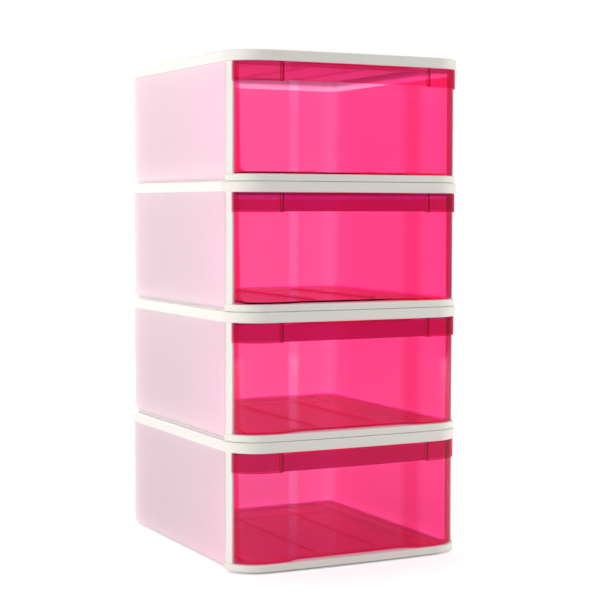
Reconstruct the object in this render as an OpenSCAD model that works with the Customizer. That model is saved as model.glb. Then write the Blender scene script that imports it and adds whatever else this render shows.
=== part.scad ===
// Tower of four identical stacking drawer units, in millimetres.
// +Z is up, -Y is the front with the drawer fronts, and the origin lies on
// the floor under the middle of the tower. Unit 1 is the lowest.
// Each unit is a foot tray, a bowed front frame, a shell of two sides and a
// back, a lid that nests the next unit, and a clear drawer with a pull lip.

/* [Stacking unit] */
// Width of the tower, over the lids
unit_w = 316; // [300:1:350]
// Depth of the tower, from the middle of the bowed front to the back
unit_d = 350; // [320:1:380]
// Height from one unit to the next
unit_pitch = 152; // [130:1:190]
// Rise of the bowed front over the full width
front_bow = 5; // [3:0.5:9]
// Radius of the two front corners, seen from above
front_corner_r = 46; // [40:1:52]
// Radius of the two rear corners, seen from above
rear_corner_r = 14; // [12:1:18]

/* [Lid] */
// Height of the lid's edge
lid_h = 12.5; // [10:0.5:16]
// Wall of the lid's edge
lid_wall = 2.6; // [2:0.1:3.2]
// Thickness of the lid's top plate
lid_plate = 2.6; // [2:0.1:3.2]
// Depth of the tray in the lid that takes the next unit
nest_depth = 2; // [1.5:0.1:2.5]
// Width of the raised lip round that tray
lip_w = 7; // [6:0.5:9]
// Rounding of the lid's upper edge
lid_round = 2.4; // [1.5:0.1:3]
// Height of the rim under the lid that grips the shell
grip_rim_h = 5.4; // [4:0.2:7]
// Thickness of that rim
grip_rim_t = 1.8; // [1.2:0.1:2.4]
// Height of the stiffening ribs under the lid
lid_rib_h = 3; // [2:0.5:4.5]
// Thickness of the stiffening ribs under the lid
lid_rib_t = 1.6; // [1:0.1:2.4]

/* [Shell] */
// Thickness of the two sides and the back
shell_t = 2.2; // [1.8:0.1:2.8]
// How much the shell draws in from top to bottom, on each side
shell_draft = 1.3; // [0.5:0.1:1.8]
// How far the shell's bottom edge rolls in under the tower
shell_roll = 6.5; // [4:0.1:7]
// Height over which it rolls in
shell_roll_h = 9.5; // [7:0.5:12]

/* [Foot tray] */
// Thickness of the tray's floor
tray_t = 2.5; // [2:0.1:3]
// Height of the ledge that carries the shell, over the lid below
ledge_h = 1; // [0.8:0.1:1.4]
// Width of the foot ring that the unit stands on
foot_w = 6; // [4:0.5:9]
// Distance of each drawer runner from the side of the tower
runner_in = 40; // [34:1:50]
// Width of a drawer runner
runner_w = 6; // [4:0.5:9]
// Height of the upstand inside the shell's foot
upstand_h = 4.5; // [3:0.5:6]
// Thickness of that upstand
upstand_t = 2; // [1.4:0.1:2.6]

/* [Front frame] */
// Width of each post beside the opening
post_w = 7.6; // [6.5:0.1:9]
// Depth of the posts, from front to back
post_d = 10; // [8:0.5:13]
// Distance of the frame's face behind the middle of the bowed front
face_setback = 30; // [28:0.5:33]
// Height of the shelf under the drawer front
shelf_top = 10.7; // [9.5:0.1:14]
// Wall of the hollow shelf
shelf_wall = 2.5; // [2:0.1:3.2]
// How far the shelf's front edge lies inside the lid's edge
shelf_inset = 1.2; // [0.8:0.1:2.4]
// Depth of the top rail between the posts, from front to back
top_rail_d = 7; // [5:0.5:9]
// Thickness of the tongue behind each post, inside the shell
tongue_t = 1.6; // [1.2:0.1:2]

/* [Drawer] */
// Wall of the drawer
drawer_t = 2.4; // [2:0.1:3]
// How much each side wall leans out from floor to rim
bin_draft = 2.6; // [1.5:0.1:4]
// Radius between the floor and the walls, inside
bin_floor_r = 8; // [5:0.5:11]
// Radius of the drawer's rear corners, inside
bin_corner_r = 14; // [12:1:20]
// Gap between the drawer's back and the back of the unit
bin_rear_gap = 9; // [6:0.5:20]
// Distance of the rim of the sides below the top of the drawer front
rim_drop = 7; // [6.5:0.5:20]
// How far the drawer front lies inside the lid's edge, below the pull lip
panel_inset = 4.2; // [4:0.1:5]
// Distance of each long floor rib from the middle
floor_rib_x = 41.5; // [30:0.5:60]
// Width of a floor rib
floor_rib_w = 1.6; // [1.2:0.1:2.4]
// Height of a floor rib
floor_rib_h = 2; // [1:0.1:3]
// How far each floor rib ends ahead of the stop bar
floor_rib_end = 2; // [0:0.5:6]
// Depth of the stop bar under the floor
stop_h = 3.4; // [2.4:0.1:3.6]
// How far the drawer pulls out
drawer_travel = 225; // [150:1:230]

/* [Pull lip] */
// Height of the lip over the top of the drawer front
lip_h = 22; // [18:0.5:28]
// How far the lip lies inside the lid's edge
lip_inset = 1.5; // [1.2:0.1:2]
// Thickness of the lip
lip_t = 2; // [1.6:0.1:2.2]
// Depth of the hollow in the drawer front behind the lip
hollow_d = 9.3; // [8:0.1:12]
// Half the width of the deepest part of that hollow
hollow_half_w = 70; // [60:1:76]
// Half the width over which it has risen to the front again
hollow_outer_half_w = 102; // [98:1:106]
// Distance of each web that carries the lip from the middle
web_x = 98.7; // [94:0.1:101]
// Thickness of a web
web_t = 2.8; // [2:0.1:3.4]

/* [Clearances] */
// Seat clearance between pieces of one unit
seat_gap = 0.3; // [0.2:0.05:0.4]
// Clearance under and in front of the closed drawer
slide_gap = 0.3; // [0.2:0.05:0.5]
// Clearance between the drawer's sides and the posts
side_gap = 1.5; // [1:0.1:3]
// Clearance round a unit's foot in the lid below
nest_gap = 0.8; // [0.5:0.1:1.2]
// Clearance between the lid's edge and the drawer front
lid_gap = 0.5; // [0.3:0.1:1]
// Clearance over the drawer's sides, in which it lifts over its stop
lift_room = 4; // [3.5:0.1:5]

/* [Hidden] */

white = [0.93, 0.93, 0.90];
pale_pink = [0.96, 0.84, 0.87];
clear_pink = [0.94, 0.16, 0.42, 0.7];

eps = 0.01;
slice_t = 0.1;
// How far a cut runs past a face, and a rail or post into its neighbour
past = 1;
half_w = unit_w / 2;
half_d = unit_d / 2;

// Heights in a unit, from the floor that its foot stands on
unit_h = unit_pitch + nest_depth;
lid_bottom = unit_h - lid_h;
plate_under = unit_pitch - lid_plate;
shell_bottom = nest_depth + ledge_h;
shell_top = plate_under - seat_gap;
tray_top = nest_depth + tray_t;
frame_bottom = nest_depth + seat_gap;
upstand_top = tray_top + upstand_h;
tongue_bottom = max(upstand_top, shell_bottom + shell_roll_h) + seat_gap;
runner_top = shelf_top;
drawer_bottom = shelf_top + slide_gap;
drawer_top = lid_bottom - lid_gap;
lip_bottom = drawer_top - lip_h;
bin_top = drawer_top - rim_drop;
lip_roof = drawer_top - drawer_t;
rail_bottom = bin_top + lift_room;

// Insets from the lid's outline
foot_inset = lip_w + nest_gap;
shell_inset = lid_wall + seat_gap;
shell_low_inset = shell_inset + shell_draft;
rim_inset = shell_inset + shell_t + seat_gap;

// Places across the tower, from the middle
opening_half_w = half_w - shell_inset - post_w;
bin_half_w = opening_half_w - side_gap - drawer_t - bin_draft;
runner_x = half_w - runner_in;
stop_half_w = runner_x - 2.5 * runner_w;

// Places from front to back
face_y = -half_d + face_setback;
frame_back_y = face_y + post_d;
front_back_y = face_y - slide_gap;
bin_rear_y = half_d - shell_low_inset - shell_t - bin_rear_gap - drawer_t;
stop_y = frame_back_y + drawer_travel + slide_gap;
stop_t = 3;

// Plan of the tower: a bowed front arc, two large front corners and two
// small rear ones. Every inset is a parallel curve of the same arcs.
bow_r = (half_w * half_w + front_bow * front_bow) / (2 * front_bow);
bow_centre_y = bow_r - half_d;
corner_x = half_w - front_corner_r;
corner_y = bow_centre_y
    - sqrt(pow(bow_r - front_corner_r, 2) - corner_x * corner_x);
bow_angle = asin(corner_x / (bow_r - front_corner_r));
corner_steps = 10;
rear_steps = 5;
sharp_r = 0.4;

function arc(x, y, r, from, to, steps) = [
    for (i = [0 : steps])
        let (t = from + (to - from) * i / steps)
        [x + r * cos(t), y + r * sin(t)]
];

function right_side(inset) = concat(
    arc(corner_x, corner_y, front_corner_r - inset,
        bow_angle - 90, 0, corner_steps),
    let (r = max(rear_corner_r - inset, sharp_r), to_centre = inset + r)
    arc(half_w - to_centre, half_d - to_centre, r, 0, 90, rear_steps)
);

function mirrored(points) = [
    for (i = [len(points) - 1 : -1 : 0]) [-points[i][0], points[i][1]]
];

function bowed_front(inset, steps) = [
    for (i = [1 : steps - 1])
        let (t = bow_angle * (2 * i / steps - 1))
        [(bow_r - inset) * sin(t), bow_centre_y - (bow_r - inset) * cos(t)]
];

function plan(inset, steps = 12) = concat(
    bowed_front(inset, steps), right_side(inset),
    mirrored(right_side(inset))
);

// Depth of the drawer front's hollow at a distance x from the middle
function hollow(x) =
    let (run = hollow_outer_half_w - hollow_half_w,
         u = max(0, min(1, (hollow_outer_half_w - abs(x)) / run)))
    hollow_d * u * u * (3 - 2 * u);

function hollowed_plan(inset, steps = 58) = concat(
    [for (p = bowed_front(inset, steps)) [p[0], p[1] + hollow(p[0])]],
    right_side(inset), mirrored(right_side(inset))
);

module outline(inset) {
    polygon(plan(inset));
}

module hollowed_outline(inset) {
    polygon(hollowed_plan(inset));
}

module slice(inset, z) {
    translate([0, 0, z])
        linear_extrude(slice_t)
            outline(inset);
}

// Half space in plan, in front of or behind a line across the tower
module in_front_of(y) {
    translate([-unit_w, y - 2 * unit_d])
        square([2 * unit_w, 2 * unit_d]);
}

module behind(y) {
    translate([-unit_w, y])
        square([2 * unit_w, 2 * unit_d]);
}

module slab(z0, z1) {
    translate([0, 0, z0])
        linear_extrude(z1 - z0)
            children();
}

// ---------------------------------------------------------------- lid

module lid_block() {
    lower_round = 0.8;
    hull() {
        slice(lower_round, lid_bottom);
        slab(lid_bottom + lower_round, unit_h - lid_round) outline(0);
        slice(lid_round * 0.3, unit_h - lid_round * 0.3);
        slice(lid_round, unit_h - slice_t);
    }
}

// Three ribs along and three across, at even parts of the room behind y0
module lid_ribs(y0) {
    edge = rim_inset + grip_rim_t / 2;
    run = half_d - edge - y0;
    for (part = [-1, 0, 1])
        translate([part * half_w / 2 - lid_rib_t / 2, y0, 0])
            cube([lid_rib_t, run, lid_rib_h]);
    for (part = [1, 2, 3])
        translate([-half_w + edge, y0 + run * part / 4 - lid_rib_t / 2, 0])
            cube([unit_w - 2 * edge, lid_rib_t, lid_rib_h]);
}

module lid() {
    rim_front_y = frame_back_y + post_d;
    color(white) {
        difference() {
            lid_block();
            slab(unit_pitch, unit_h + past) outline(lip_w);
            slab(lid_bottom - past, plate_under) outline(lid_wall);
        }
        slab(plate_under - grip_rim_h, plate_under)
            intersection() {
                difference() {
                    outline(rim_inset);
                    outline(rim_inset + grip_rim_t);
                }
                behind(rim_front_y);
            }
        translate([0, 0, plate_under - lid_rib_h])
            lid_ribs(rim_front_y);
    }
}

// -------------------------------------------------------------- shell

// Everything inside the shell's outer face, or inside its inner one
module shell_block(inset) {
    hull() {
        for (a = [0 : 30 : 90])
            slice(shell_low_inset + shell_roll * (1 - sin(a)) + inset,
                  shell_bottom + shell_roll_h * (1 - cos(a)));
        slice(shell_inset + inset, shell_top - slice_t);
    }
}

module shell() {
    color(pale_pink)
        difference() {
            shell_block(0);
            shell_block(shell_t);
            slab(shell_bottom - past, shell_bottom + slice_t / 2)
                outline(shell_low_inset + shell_roll + shell_t);
            slab(shell_top - slice_t / 2, shell_top + past)
                outline(shell_inset + shell_t);
            slab(0, unit_h) in_front_of(frame_back_y);
        }
}

// ---------------------------------------------------------- foot tray

module runner(side) {
    y0 = frame_back_y + seat_gap;
    y1 = bin_rear_y + drawer_t;
    translate([side * runner_x - runner_w / 2, y0, tray_top - eps])
        cube([runner_w, y1 - y0, runner_top - tray_top + eps]);
}

module foot_tray() {
    upstand_inset = shell_low_inset + shell_roll + shell_t + seat_gap;
    color(white) {
        difference() {
            slab(0, tray_top) outline(foot_inset);
            slab(-past, nest_depth) outline(foot_inset + foot_w);
            slab(shell_bottom, tray_top + past)
                intersection() {
                    difference() {
                        outline(-past);
                        outline(upstand_inset);
                    }
                    behind(frame_back_y - shelf_wall);
                }
        }
        slab(tray_top - eps, upstand_top)
            intersection() {
                difference() {
                    outline(upstand_inset);
                    outline(upstand_inset + upstand_t);
                }
                behind(frame_back_y + seat_gap);
            }
        runner(-1);
        runner(1);
    }
}

// -------------------------------------------------------- front frame

module shelf_block() {
    edge = 1.2;
    hull() {
        slice(shelf_inset + edge, frame_bottom);
        slab(frame_bottom + edge, shelf_top - edge) outline(shelf_inset);
        slice(shelf_inset + edge, shelf_top - slice_t);
    }
}

module post(side) {
    slab(shelf_top - past, shell_top)
        intersection() {
            outline(shell_inset);
            translate([side > 0 ? opening_half_w : -unit_w, face_y])
                square([unit_w - opening_half_w, post_d]);
        }
    // tongue inside the shell's front edge
    slab(tongue_bottom, shell_top)
        intersection() {
            difference() {
                outline(shell_low_inset + shell_t + seat_gap);
                outline(shell_low_inset + shell_t + seat_gap + tongue_t);
            }
            translate([side > 0 ? 0 : -unit_w, frame_back_y - eps])
                square([unit_w, post_d]);
        }
}

module front_frame() {
    rib_t = 2;
    rib_y = -half_d + 2 * shelf_inset + 4 * shelf_wall;
    color(white) {
        difference() {
            shelf_block();
            slab(0, shelf_top - shelf_wall)
                intersection() {
                    outline(shelf_inset + shelf_wall);
                    in_front_of(frame_back_y - shelf_wall);
                }
            slab(0, unit_h) behind(frame_back_y);
            // notch over the rim of the foot tray, behind the shelf
            slab(0, tray_top)
                intersection() {
                    outline(foot_inset - seat_gap);
                    behind(frame_back_y - shelf_wall - past);
                }
        }
        // ribs inside the shelf
        for (part = [-0.7, -0.3, 0.3, 0.7])
            translate([part * half_w - rib_t / 2, rib_y, tray_top])
                cube([rib_t, frame_back_y - shelf_wall - rib_y + eps,
                      shelf_top - shelf_wall - tray_top + eps]);
        post(-1);
        post(1);
        translate([-opening_half_w - past, face_y, rail_bottom])
            cube([2 * (opening_half_w + past), top_rail_d,
                  shell_top - rail_bottom]);
    }
}

// ------------------------------------------------------------- drawer

function bin_plan(hw, rear_y, r, front_y) = concat(
    [[-hw, front_y], [hw, front_y]],
    arc(hw - r, rear_y - r, r, 0, 90, 6),
    arc(-hw + r, rear_y - r, r, 90, 180, 6)
);

// The tub behind the drawer front, grown by "grow" from its inner face
module bin_block(grow, z0, front_y) {
    r = bin_floor_r + grow;
    hull() {
        for (a = [0 : 30 : 90])
            translate([0, 0, z0 + r * (1 - cos(a))])
                linear_extrude(slice_t)
                    polygon(bin_plan(
                        bin_half_w + grow - r * (1 - sin(a)),
                        bin_rear_y + grow - r * (1 - sin(a)),
                        bin_corner_r + grow - r * (1 - sin(a)), front_y));
        translate([0, 0, bin_top - slice_t])
            linear_extrude(slice_t)
                polygon(bin_plan(bin_half_w + bin_draft + grow,
                                 bin_rear_y + grow,
                                 bin_corner_r + grow, front_y));
    }
}

module drawer_front_block() {
    slab(drawer_bottom, lip_bottom)
        intersection() {
            hollowed_outline(panel_inset);
            in_front_of(front_back_y);
        }
    slab(lip_bottom - eps, drawer_top)
        intersection() {
            outline(lip_inset);
            in_front_of(front_back_y);
        }
}

// Room inside the drawer front, ahead of the frame's posts
module front_room() {
    floor_z = drawer_bottom + drawer_t;
    slab(floor_z, drawer_top + past)
        intersection() {
            hollowed_outline(panel_inset + drawer_t);
            in_front_of(front_back_y - drawer_t);
        }
    for (side = [-1, 1])
        slab(lip_bottom + drawer_t, drawer_top + past)
            intersection() {
                outline(lip_inset + drawer_t);
                in_front_of(front_back_y - drawer_t);
                translate([side * (web_x + web_t / 2 + unit_w / 2), 0])
                    square([unit_w, 2 * unit_d], center = true);
            }
}

module finger_pocket() {
    slab(lip_bottom - past, lip_roof)
        intersection() {
            difference() {
                outline(lip_inset + lip_t);
                hollowed_outline(panel_inset);
            }
            square([2 * web_x - web_t, 2 * unit_d], center = true);
            in_front_of(front_back_y);
        }
}

module floor_ribs() {
    y0 = front_back_y;
    y1 = stop_y - floor_rib_end;
    for (side = [-1, 1])
        translate([side * floor_rib_x - floor_rib_w / 2, y0,
                   drawer_bottom + drawer_t - eps])
            cube([floor_rib_w, y1 - y0, floor_rib_h + eps]);
}

module stop_bar() {
    translate([-stop_half_w, stop_y, drawer_bottom - stop_h])
        cube([2 * stop_half_w, stop_t, stop_h + drawer_t / 2]);
}

module drawer() {
    floor_z = drawer_bottom + drawer_t;
    color(clear_pink)
        union() {
            difference() {
                union() {
                    drawer_front_block();
                    bin_block(drawer_t, drawer_bottom, front_back_y - past);
                }
                intersection() {
                    union() {
                        bin_block(0, floor_z, -unit_d);
                        slab(bin_top - slice_t / 2, drawer_top + past)
                            polygon(bin_plan(bin_half_w + bin_draft,
                                bin_rear_y, bin_corner_r, -unit_d));
                    }
                    slab(0, unit_h) hollowed_outline(panel_inset + drawer_t);
                }
                front_room();
                finger_pocket();
            }
            floor_ribs();
            stop_bar();
        }
}

// -------------------------------------------------------------- tower

module unit(number) {
    translate([0, 0, (number - 1) * unit_pitch])
        children();
}

unit(1) foot_tray();  // foot_tray_1
unit(1) front_frame();  // front_frame_1
unit(1) shell();  // shell_1
unit(1) lid();  // lid_1
unit(1) drawer();  // drawer_1
unit(2) foot_tray();  // foot_tray_2
unit(2) front_frame();  // front_frame_2
unit(2) shell();  // shell_2
unit(2) lid();  // lid_2
unit(2) drawer();  // drawer_2
unit(3) foot_tray();  // foot_tray_3
unit(3) front_frame();  // front_frame_3
unit(3) shell();  // shell_3
unit(3) lid();  // lid_3
unit(3) drawer();  // drawer_3
unit(4) foot_tray();  // foot_tray_4
unit(4) front_frame();  // front_frame_4
unit(4) shell();  // shell_4
unit(4) lid();  // lid_4
unit(4) drawer();  // drawer_4
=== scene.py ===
# %% [markdown]
# # A tower of four clear plastic drawers
# The tower is four identical units that stand in each other's lids. Each unit
# is a white foot tray, a white bowed front frame, a pale pink shell, a white
# lid and a clear magenta drawer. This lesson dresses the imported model: it
# keeps the pieces whose shape is already right, remodels those that the eye
# dwells on with softer edges, and gives each plastic its own finish.

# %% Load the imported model
import math

import bmesh
import bpy
from mathutils import Matrix, Vector


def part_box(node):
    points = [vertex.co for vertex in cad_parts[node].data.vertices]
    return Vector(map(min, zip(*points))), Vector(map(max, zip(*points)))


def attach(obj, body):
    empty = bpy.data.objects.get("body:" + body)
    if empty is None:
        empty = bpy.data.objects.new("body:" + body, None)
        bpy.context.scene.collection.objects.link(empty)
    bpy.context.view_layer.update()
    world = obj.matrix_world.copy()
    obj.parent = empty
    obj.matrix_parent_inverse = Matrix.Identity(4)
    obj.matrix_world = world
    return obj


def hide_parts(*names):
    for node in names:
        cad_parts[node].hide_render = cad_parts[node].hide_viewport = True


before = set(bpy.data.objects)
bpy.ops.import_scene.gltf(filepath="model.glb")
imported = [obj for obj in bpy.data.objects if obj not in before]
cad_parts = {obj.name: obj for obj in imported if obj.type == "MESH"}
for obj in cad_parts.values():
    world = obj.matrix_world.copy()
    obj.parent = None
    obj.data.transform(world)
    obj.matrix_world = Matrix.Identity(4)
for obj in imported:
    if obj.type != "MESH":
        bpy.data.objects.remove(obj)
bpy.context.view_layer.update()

# %% [markdown]
# ## Sizes
# Everything hangs on one plan outline: a slightly bowed front, two large
# front corners and two small rear ones. The outer sizes are measured on the
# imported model, so the new pieces can't drift from it. The rest are the sizes
# of the mouldings themselves, in metres, and three distances below which two
# places count as one when a mesh is cut or searched.

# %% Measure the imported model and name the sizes
MM = 0.001
CUT_DIST, SAME, CLOSE = 1e-7, 1e-6, 1e-4
UNITS = 4
LID_LOW, LID_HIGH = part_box("lid_1")
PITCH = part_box("lid_2")[0].z - LID_LOW.z
HALF_W, HALF_D = LID_HIGH.x, LID_HIGH.y
UNIT_TOP, LID_BOTTOM = LID_HIGH.z, LID_LOW.z
DRAWER_LOW, DRAWER_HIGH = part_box("drawer_1")
DRAWER_BOTTOM, DRAWER_TOP = DRAWER_LOW.z, DRAWER_HIGH.z

FRONT_BOW = 5 * MM
FRONT_R = 46 * MM
REAR_R = 14 * MM
FACE_Y = -HALF_D + 30 * MM
FRAME_BACK_Y = FACE_Y + 10 * MM
SLIDE_GAP = 0.3 * MM

BOW_R = (HALF_W**2 + FRONT_BOW**2) / (2 * FRONT_BOW)
BOW_Y = BOW_R - HALF_D
CORNER_X = HALF_W - FRONT_R
CORNER_Y = BOW_Y - math.sqrt((BOW_R - FRONT_R) ** 2 - CORNER_X**2)
BOW_ANGLE = math.asin(CORNER_X / (BOW_R - FRONT_R))
print("unit pitch", round(PITCH / MM, 2), "mm, half width", round(HALF_W / MM, 2), "mm")

# %% [markdown]
# ## Drawing the plan outline
# A vertex that is spun round a centre leaves an arc of edges behind it. So
# the outline can be drawn the way a draughtsman does with compasses: a wide
# arc for the bow, a tighter one for each corner, straight lines between. An
# inset just shortens the radii, which keeps every outline parallel.

# %% Compass and ruler for outlines
BOW_STEPS = 144
CORNER_STEPS = 20
REAR_STEPS = 8


def arc_on(bm, vert, centre_x, centre_y, angle, steps):
    """Spins the last vertex round a centre and returns the new last one."""
    made = bmesh.ops.spin(
        bm, geom=[vert], cent=(centre_x, centre_y, vert.co.z), axis=(0, 0, 1),
        angle=angle, steps=steps, use_merge=False, use_duplicate=False)
    return next(v for v in made["geom_last"] if isinstance(v, bmesh.types.BMVert))


def line_on(bm, vert, x, y):
    """Draws a straight line from the last vertex and returns the new one."""
    end = bm.verts.new((x, y, vert.co.z))
    bm.edges.new((vert, end))
    return end


def front_chain(bm, inset, z):
    """Draws left corner, bow and right corner as one open line."""
    quarter = math.pi / 2 - BOW_ANGLE
    first = bm.verts.new((-HALF_W + inset, CORNER_Y, z))
    last = arc_on(bm, first, -CORNER_X, CORNER_Y, quarter, CORNER_STEPS)
    last = arc_on(bm, last, 0, BOW_Y, 2 * BOW_ANGLE, BOW_STEPS)
    last = arc_on(bm, last, CORNER_X, CORNER_Y, quarter, CORNER_STEPS)
    return first, last


def closed_ring(bm, inset, z):
    """Draws the whole outline and returns its edges."""
    known = set(bm.edges)
    rear_x, rear_y = HALF_W - REAR_R, HALF_D - REAR_R
    first, last = front_chain(bm, inset, z)
    last = line_on(bm, last, HALF_W - inset, rear_y)
    last = arc_on(bm, last, rear_x, rear_y, math.pi / 2, REAR_STEPS)
    last = line_on(bm, last, -rear_x, HALF_D - inset)
    last = arc_on(bm, last, -rear_x, rear_y, math.pi / 2, REAR_STEPS)
    bm.edges.new((last, first))
    return [e for e in bm.edges if e not in known]


print("each front corner turns", round(math.degrees(math.pi / 2 - BOW_ANGLE), 1), "degrees")

# %% [markdown]
# ## A few everyday tools
# The same moves come back in every piece: closing a ring with a face, pulling
# the face up, rounding edges, adding a bar, cutting by a plane. Each is a few
# lines of bmesh, wrapped so that its settings are given once and for all.

# %% Wrap the operators that every piece uses
SHARP_ANGLE = math.radians(35)


def fill(bm, edges):
    """Closes a ring of edges with one face."""
    made = bmesh.ops.contextual_create(bm, geom=edges)
    return made["faces"][0]


def raise_face(bm, face, height):
    """Extrudes a face along Z and returns its new top."""
    alone = all(e.is_boundary for e in face.edges)
    made = bmesh.ops.extrude_face_region(bm, geom=[face])
    tops = [g for g in made["geom"] if isinstance(g, bmesh.types.BMFace)]
    verts = [g for g in made["geom"] if isinstance(g, bmesh.types.BMVert)]
    bmesh.ops.translate(bm, vec=(0, 0, height), verts=verts)
    if not alone:
        bmesh.ops.delete(bm, geom=[face], context="FACES_ONLY")
    return tops[0]


def round_edges(bm, edges, radius, segments):
    """Rounds edges as the moulder's cutter would."""
    bmesh.ops.bevel(
        bm, geom=edges, offset=radius, offset_type="OFFSET", segments=segments,
        profile=0.5, affect="EDGES", material=-1, clamp_overlap=True)


def box_at(bm, low, high):
    """Adds a rectangular bar between two corners."""
    low, high = Vector(low), Vector(high)
    made = bmesh.ops.create_cube(bm, size=1)
    bmesh.ops.scale(bm, vec=high - low, verts=made["verts"])
    bmesh.ops.translate(bm, vec=(low + high) / 2, verts=made["verts"])
    return made["verts"]


def cut(bm, point, normal):
    """Cuts the whole mesh by a plane and drops the normal's side."""
    geom = list(bm.verts) + list(bm.edges) + list(bm.faces)
    bmesh.ops.bisect_plane(
        bm, geom=geom, dist=CUT_DIST, plane_co=point, plane_no=normal,
        clear_outer=True, clear_inner=False)


def finished(bm, name, material_list):
    """Turns a bmesh into an object at the origin, smooth but for its corners."""
    mesh = bpy.data.meshes.new(name)
    bm.to_mesh(mesh)
    bm.free()
    for material in material_list:
        mesh.materials.append(material)
    mesh.shade_smooth()
    mesh.set_sharp_from_angle(angle=SHARP_ANGLE)
    piece = bpy.data.objects.new(name, mesh)
    bpy.context.scene.collection.objects.link(piece)
    return piece


print("edges sharper than", round(math.degrees(SHARP_ANGLE)), "degrees stay crisp")

# %% [markdown]
# ## The lids
# A moulded lid is a shallow cap: a rounded edge all round, a raised lip on
# top that keeps the next unit from sliding, and an open underside with ribs.
# It starts as one flat face. Extruding gives it height, an inset and a second
# extrusion sink the tray, and bevels melt the edges.

# %% Build one lid
LID_ROUND = 2.4 * MM
LOWER_ROUND = 0.8 * MM
LIP_W = 7 * MM
NEST_DEPTH = 2 * MM
LID_WALL = 2.6 * MM
PLATE_T = 2.6 * MM
PLATE_UNDER = UNIT_TOP - NEST_DEPTH - PLATE_T
LIP_ROUND = 0.7 * MM
RIB_T = 1.6 * MM
RIB_H = 3 * MM
RIB_FRONT_Y = FRAME_BACK_Y + 10 * MM
RIB_BACK_Y = HALF_D - (LID_WALL + 4 * MM)
RIM_ANGLE = 0.5
PAST_CORNER = 1.02
PLATE_SLOT = 1


def rim_edges(bm, z):
    """The edges that lie at one height between a flat face and a wall."""
    flat = [e for e in bm.edges if all(abs(v.co.z - z) < SAME for v in e.verts)]
    return [e for e in flat if e.is_manifold and e.calc_face_angle(0) > RIM_ANGLE]


def inset_face(bm, face, width):
    """Insets one face evenly and returns it."""
    bmesh.ops.inset_region(bm, faces=[face], thickness=width, use_even_offset=True)
    return face


def lid_mesh():
    """A cap with a sunken tray; its thin plate and ribs take the second material."""
    bm = bmesh.new()
    base = fill(bm, closed_ring(bm, 0, LID_BOTTOM))
    top = raise_face(bm, base, UNIT_TOP - LID_BOTTOM)
    floor = inset_face(bm, top, LIP_W)
    tray = raise_face(bm, floor, -NEST_DEPTH)
    inset_face(bm, base, LID_WALL)
    under = raise_face(bm, base, PLATE_UNDER - LID_BOTTOM)
    tray.material_index = under.material_index = PLATE_SLOT
    bm.normal_update()
    bmesh.ops.recalc_face_normals(bm, faces=bm.faces)
    outer = [e for e in rim_edges(bm, UNIT_TOP) if on_outline(e, 0)]
    lower = [e for e in rim_edges(bm, LID_BOTTOM) if on_outline(e, 0)]
    lip = [e for e in rim_edges(bm, UNIT_TOP) if not on_outline(e, 0)]
    round_edges(bm, outer, LID_ROUND, 6)
    round_edges(bm, lower, LOWER_ROUND, 3)
    round_edges(bm, lip, LIP_ROUND, 3)
    for part in (-1, 0, 1):
        x = part * HALF_W / 2
        rib = box_at(bm, (x - RIB_T / 2, RIB_FRONT_Y, PLATE_UNDER - RIB_H),
                     (x + RIB_T / 2, RIB_BACK_Y, PLATE_UNDER + MM))
        for face in {f for v in rib for f in v.link_faces}:
            face.material_index = PLATE_SLOT
    return bm


def on_outline(edge, inset):
    """True if an edge lies on the outline at that inset."""
    x, y = (abs(edge.verts[0].co.x), edge.verts[0].co.y)
    if y < CORNER_Y:
        if x <= CORNER_X * PAST_CORNER:
            reach = math.hypot(x, y - BOW_Y) - (BOW_R - inset)
            if abs(reach) < CLOSE:
                return True
        return abs(math.hypot(x - CORNER_X, y - CORNER_Y) - FRONT_R + inset) < CLOSE
    if x > HALF_W - REAR_R and y > HALF_D - REAR_R:
        reach = math.hypot(x - HALF_W + REAR_R, y - HALF_D + REAR_R)
        return abs(reach - REAR_R + inset) < CLOSE
    return x > HALF_W - inset - CLOSE or y > HALF_D - inset - CLOSE


def stacked(bm, name, replaced, body, material_list):
    """Places a copy of one moulding in every unit of the tower."""
    made = []
    for number in range(1, UNITS + 1):
        copy = bm.copy()
        lift = (number - 1) * PITCH
        bmesh.ops.translate(copy, vec=(0, 0, lift), verts=copy.verts)
        piece = finished(copy, f"{name}_{number}", material_list)
        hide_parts(f"{replaced}_{number}")
        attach(piece, f"{body}_{number}")
        made.append(piece)
    bm.free()
    print(name, "x", len(made), "faces each:", len(made[0].data.polygons))
    return made


print("the lid's plate lies", round((UNIT_TOP - PLATE_UNDER) / MM, 1), "mm under its top")

# %% [markdown]
# ## The shells
# Two sides and the back are one thin moulding, open to the front. Its lower
# edge rolls inwards by a quarter of an ellipse. A thin shell is easiest as a
# skin: a stack of outlines whose insets follow the ellipse, bands of faces
# between them, the front cut away, and a Solidify modifier for the wall.

# %% Build one shell
SHELL_T = 2.2 * MM
SEAT_GAP = 0.3 * MM
SHELL_TOP = PLATE_UNDER - SEAT_GAP
SHELL_BOTTOM = 3 * MM
SHELL_INSET = 2.9 * MM
SHELL_LOW_INSET = SHELL_INSET + 1.3 * MM
SHELL_ROLL = 6.5 * MM
SHELL_ROLL_H = 9.5 * MM
ROLL_STEPS = 8


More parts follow.
